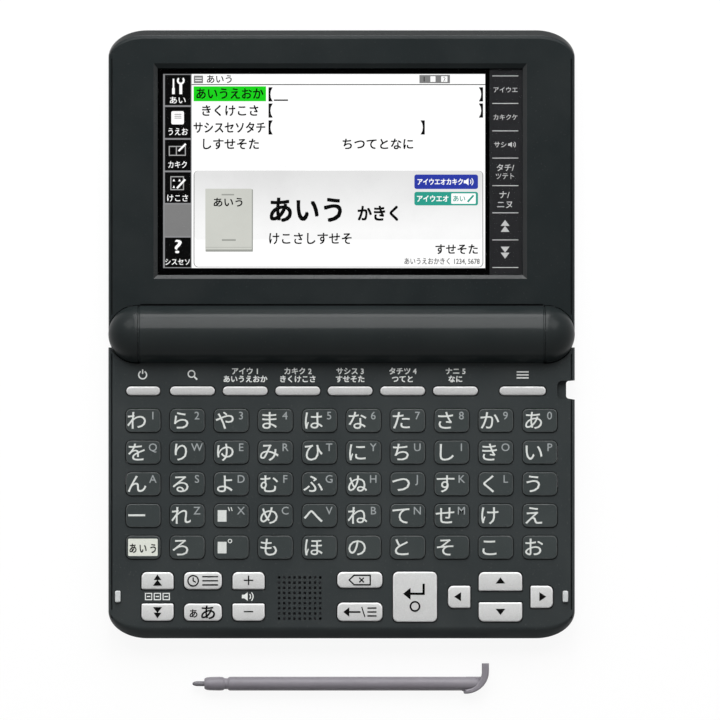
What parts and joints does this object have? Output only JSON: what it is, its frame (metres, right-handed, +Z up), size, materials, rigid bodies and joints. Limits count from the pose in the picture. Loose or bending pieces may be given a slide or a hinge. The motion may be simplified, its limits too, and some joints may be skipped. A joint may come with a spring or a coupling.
{
  "type": "electronic dictionary",
  "caption": "Pocket electronic dictionary: a keyboard half and a touch screen half on a battery barrel hinge, opened flat, with its pen laid in front.",
  "frame": {"origin": "on the surface that the dictionary stands on, in the middle of the space that the dictionary and its laid-out pen take up together", "axes": "+X along the keyboard to the right, +Y from the keyboard to the screen, +Z up"},
  "size_m": [0.148, 0.2108, 0.0184],
  "materials": {
    "case_black": "fine satin moulding, charcoal",
    "letter_key": "satin, charcoal",
    "silver_key": "satin silver paint",
    "foot_rubber": "matt",
    "bumper_rubber": "matt light grey",
    "pen_grey": "satin, warm grey",
    "pen_nib": "smooth",
    "screen_glass": "clear, hard-coated",
    "screen_panel": "lit display",
    "cell_steel": "printed sleeve, left plain",
    "bright_steel": "plated sheet",
    "bare_aluminium": "plain sheet",
    "speaker_steel": "dark",
    "board_green": "solder mask"
  },
  "bodies": {
    "base": {"keyboard_fascia": "case_black", "bottom_shell": "case_black", "battery_barrel": "case_black", "stylus_silo": "case_black", "earphone_socket": "case_black", "letter_keypad": "letter_key", "foot_front_left": "foot_rubber", "foot_front_right": "foot_rubber", "foot_rear_left": "foot_rubber", "foot_rear_right": "foot_rubber", "lid_bumper_left": "bumper_rubber", "lid_bumper_right": "bumper_rubber", "battery_cell_1": "cell_steel", "battery_cell_2": "cell_steel", "contact_plate": "bright_steel", "contact_spring": "bright_steel", "key_support_plate": "bright_steel", "usb_socket": "bright_steel", "card_socket": "bare_aluminium", "speaker": "speaker_steel", "main_board": "board_green"},
    "lid": {"lid_outer_shell": "case_black", "lid_bezel": "case_black", "touch_glass": "screen_glass", "display_panel": "screen_panel", "display_frame": "bare_aluminium", "hinge_cap_left": "case_black", "hinge_cap_right": "case_black", "hinge_bracket_left": "bright_steel", "hinge_bracket_right": "bright_steel"},
    "battery_cover": {"battery_cover": "case_black"},
    "stylus": {"stylus_barrel": "pen_grey", "stylus_nib": "pen_nib", "stylus_hook": "pen_grey"},
    "power_key": {"power_key": "silver_key"},
    "search_key": {"search_key": "silver_key"},
    "shortcut_key_1": {"shortcut_key_1": "silver_key"},
    "shortcut_key_2": {"shortcut_key_2": "silver_key"},
    "shortcut_key_3": {"shortcut_key_3": "silver_key"},
    "shortcut_key_4": {"shortcut_key_4": "silver_key"},
    "shortcut_key_5": {"shortcut_key_5": "silver_key"},
    "menu_key": {"menu_key": "silver_key"},
    "page_up_key": {"page_up_key": "silver_key"},
    "page_down_key": {"page_down_key": "silver_key"},
    "history_key": {"history_key": "silver_key"},
    "text_size_key": {"text_size_key": "silver_key"},
    "volume_up_key": {"volume_up_key": "silver_key"},
    "volume_down_key": {"volume_down_key": "silver_key"},
    "delete_key": {"delete_key": "silver_key"},
    "back_key": {"back_key": "silver_key"},
    "enter_key": {"enter_key": "silver_key"},
    "cursor_left_key": {"cursor_left_key": "silver_key"},
    "cursor_right_key": {"cursor_right_key": "silver_key"},
    "cursor_up_key": {"cursor_up_key": "silver_key"},
    "cursor_down_key": {"cursor_down_key": "silver_key"}
  },
  "joints": [
    {"name": "lid_hinge", "type": "hinge", "parent": "base", "child": "lid", "pos_m": [0, 0.00885, 0.0094], "axis": [1, 0, 0], "range_deg": [0, 180]},
    {"name": "battery_cover_hinge", "type": "hinge", "parent": "base", "child": "battery_cover", "pos_m": [0, -0.00015, 0.0008], "axis": [-1, 0, 0], "range_deg": [0, 60]},
    {"name": "stylus_lift", "type": "slide", "parent": "base", "child": "stylus", "axis": [0, 0, 1], "range_m": [0, 0.08]},
    {"name": "power_press", "type": "slide", "parent": "base", "child": "power_key", "axis": [0, 0, -1], "range_m": [0, 0.0007], "stiffness_N_per_m": 500, "springref_m": -0.0005},
    {"name": "search_press", "type": "slide", "parent": "base", "child": "search_key", "axis": [0, 0, -1], "range_m": [0, 0.0007], "stiffness_N_per_m": 500, "springref_m": -0.0005},
    {"name": "shortcut_1_press", "type": "slide", "parent": "base", "child": "shortcut_key_1", "axis": [0, 0, -1], "range_m": [0, 0.0007], "stiffness_N_per_m": 500, "springref_m": -0.0005},
    {"name": "shortcut_2_press", "type": "slide", "parent": "base", "child": "shortcut_key_2", "axis": [0, 0, -1], "range_m": [0, 0.0007], "stiffness_N_per_m": 500, "springref_m": -0.0005},
    {"name": "shortcut_3_press", "type": "slide", "parent": "base", "child": "shortcut_key_3", "axis": [0, 0, -1], "range_m": [0, 0.0007], "stiffness_N_per_m": 500, "springref_m": -0.0005},
    {"name": "shortcut_4_press", "type": "slide", "parent": "base", "child": "shortcut_key_4", "axis": [0, 0, -1], "range_m": [0, 0.0007], "stiffness_N_per_m": 500, "springref_m": -0.0005},
    {"name": "shortcut_5_press", "type": "slide", "parent": "base", "child": "shortcut_key_5", "axis": [0, 0, -1], "range_m": [0, 0.0007], "stiffness_N_per_m": 500, "springref_m": -0.0005},
    {"name": "menu_press", "type": "slide", "parent": "base", "child": "menu_key", "axis": [0, 0, -1], "range_m": [0, 0.0007], "stiffness_N_per_m": 500, "springref_m": -0.0005},
    {"name": "page_up_press", "type": "slide", "parent": "base", "child": "page_up_key", "axis": [0, 0, -1], "range_m": [0, 0.0007], "stiffness_N_per_m": 500, "springref_m": -0.0005},
    {"name": "page_down_press", "type": "slide", "parent": "base", "child": "page_down_key", "axis": [0, 0, -1], "range_m": [0, 0.0007], "stiffness_N_per_m": 500, "springref_m": -0.0005},
    {"name": "history_press", "type": "slide", "parent": "base", "child": "history_key", "axis": [0, 0, -1], "range_m": [0, 0.0007], "stiffness_N_per_m": 500, "springref_m": -0.0005},
    {"name": "text_size_press", "type": "slide", "parent": "base", "child": "text_size_key", "axis": [0, 0, -1], "range_m": [0, 0.0007], "stiffness_N_per_m": 500, "springref_m": -0.0005},
    {"name": "volume_up_press", "type": "slide", "parent": "base", "child": "volume_up_key", "axis": [0, 0, -1], "range_m": [0, 0.0007], "stiffness_N_per_m": 500, "springref_m": -0.0005},
    {"name": "volume_down_press", "type": "slide", "parent": "base", "child": "volume_down_key", "axis": [0, 0, -1], "range_m": [0, 0.0007], "stiffness_N_per_m": 500, "springref_m": -0.0005},
    {"name": "delete_press", "type": "slide", "parent": "base", "child": "delete_key", "axis": [0, 0, -1], "range_m": [0, 0.0007], "stiffness_N_per_m": 500, "springref_m": -0.0005},
    {"name": "back_press", "type": "slide", "parent": "base", "child": "back_key", "axis": [0, 0, -1], "range_m": [0, 0.0007], "stiffness_N_per_m": 500, "springref_m": -0.0005},
    {"name": "enter_press", "type": "slide", "parent": "base", "child": "enter_key", "axis": [0, 0, -1], "range_m": [0, 0.0007], "stiffness_N_per_m": 500, "springref_m": -0.0005},
    {"name": "cursor_left_press", "type": "slide", "parent": "base", "child": "cursor_left_key", "axis": [0, 0, -1], "range_m": [0, 0.0007], "stiffness_N_per_m": 500, "springref_m": -0.0005},
    {"name": "cursor_right_press", "type": "slide", "parent": "base", "child": "cursor_right_key", "axis": [0, 0, -1], "range_m": [0, 0.0007], "stiffness_N_per_m": 500, "springref_m": -0.0005},
    {"name": "cursor_up_press", "type": "slide", "parent": "base", "child": "cursor_up_key", "axis": [0, 0, -1], "range_m": [0, 0.0007], "stiffness_N_per_m": 500, "springref_m": -0.0005},
    {"name": "cursor_down_press", "type": "slide", "parent": "base", "child": "cursor_down_key", "axis": [0, 0, -1], "range_m": [0, 0.0007], "stiffness_N_per_m": 500, "springref_m": -0.0005}
  ]
}
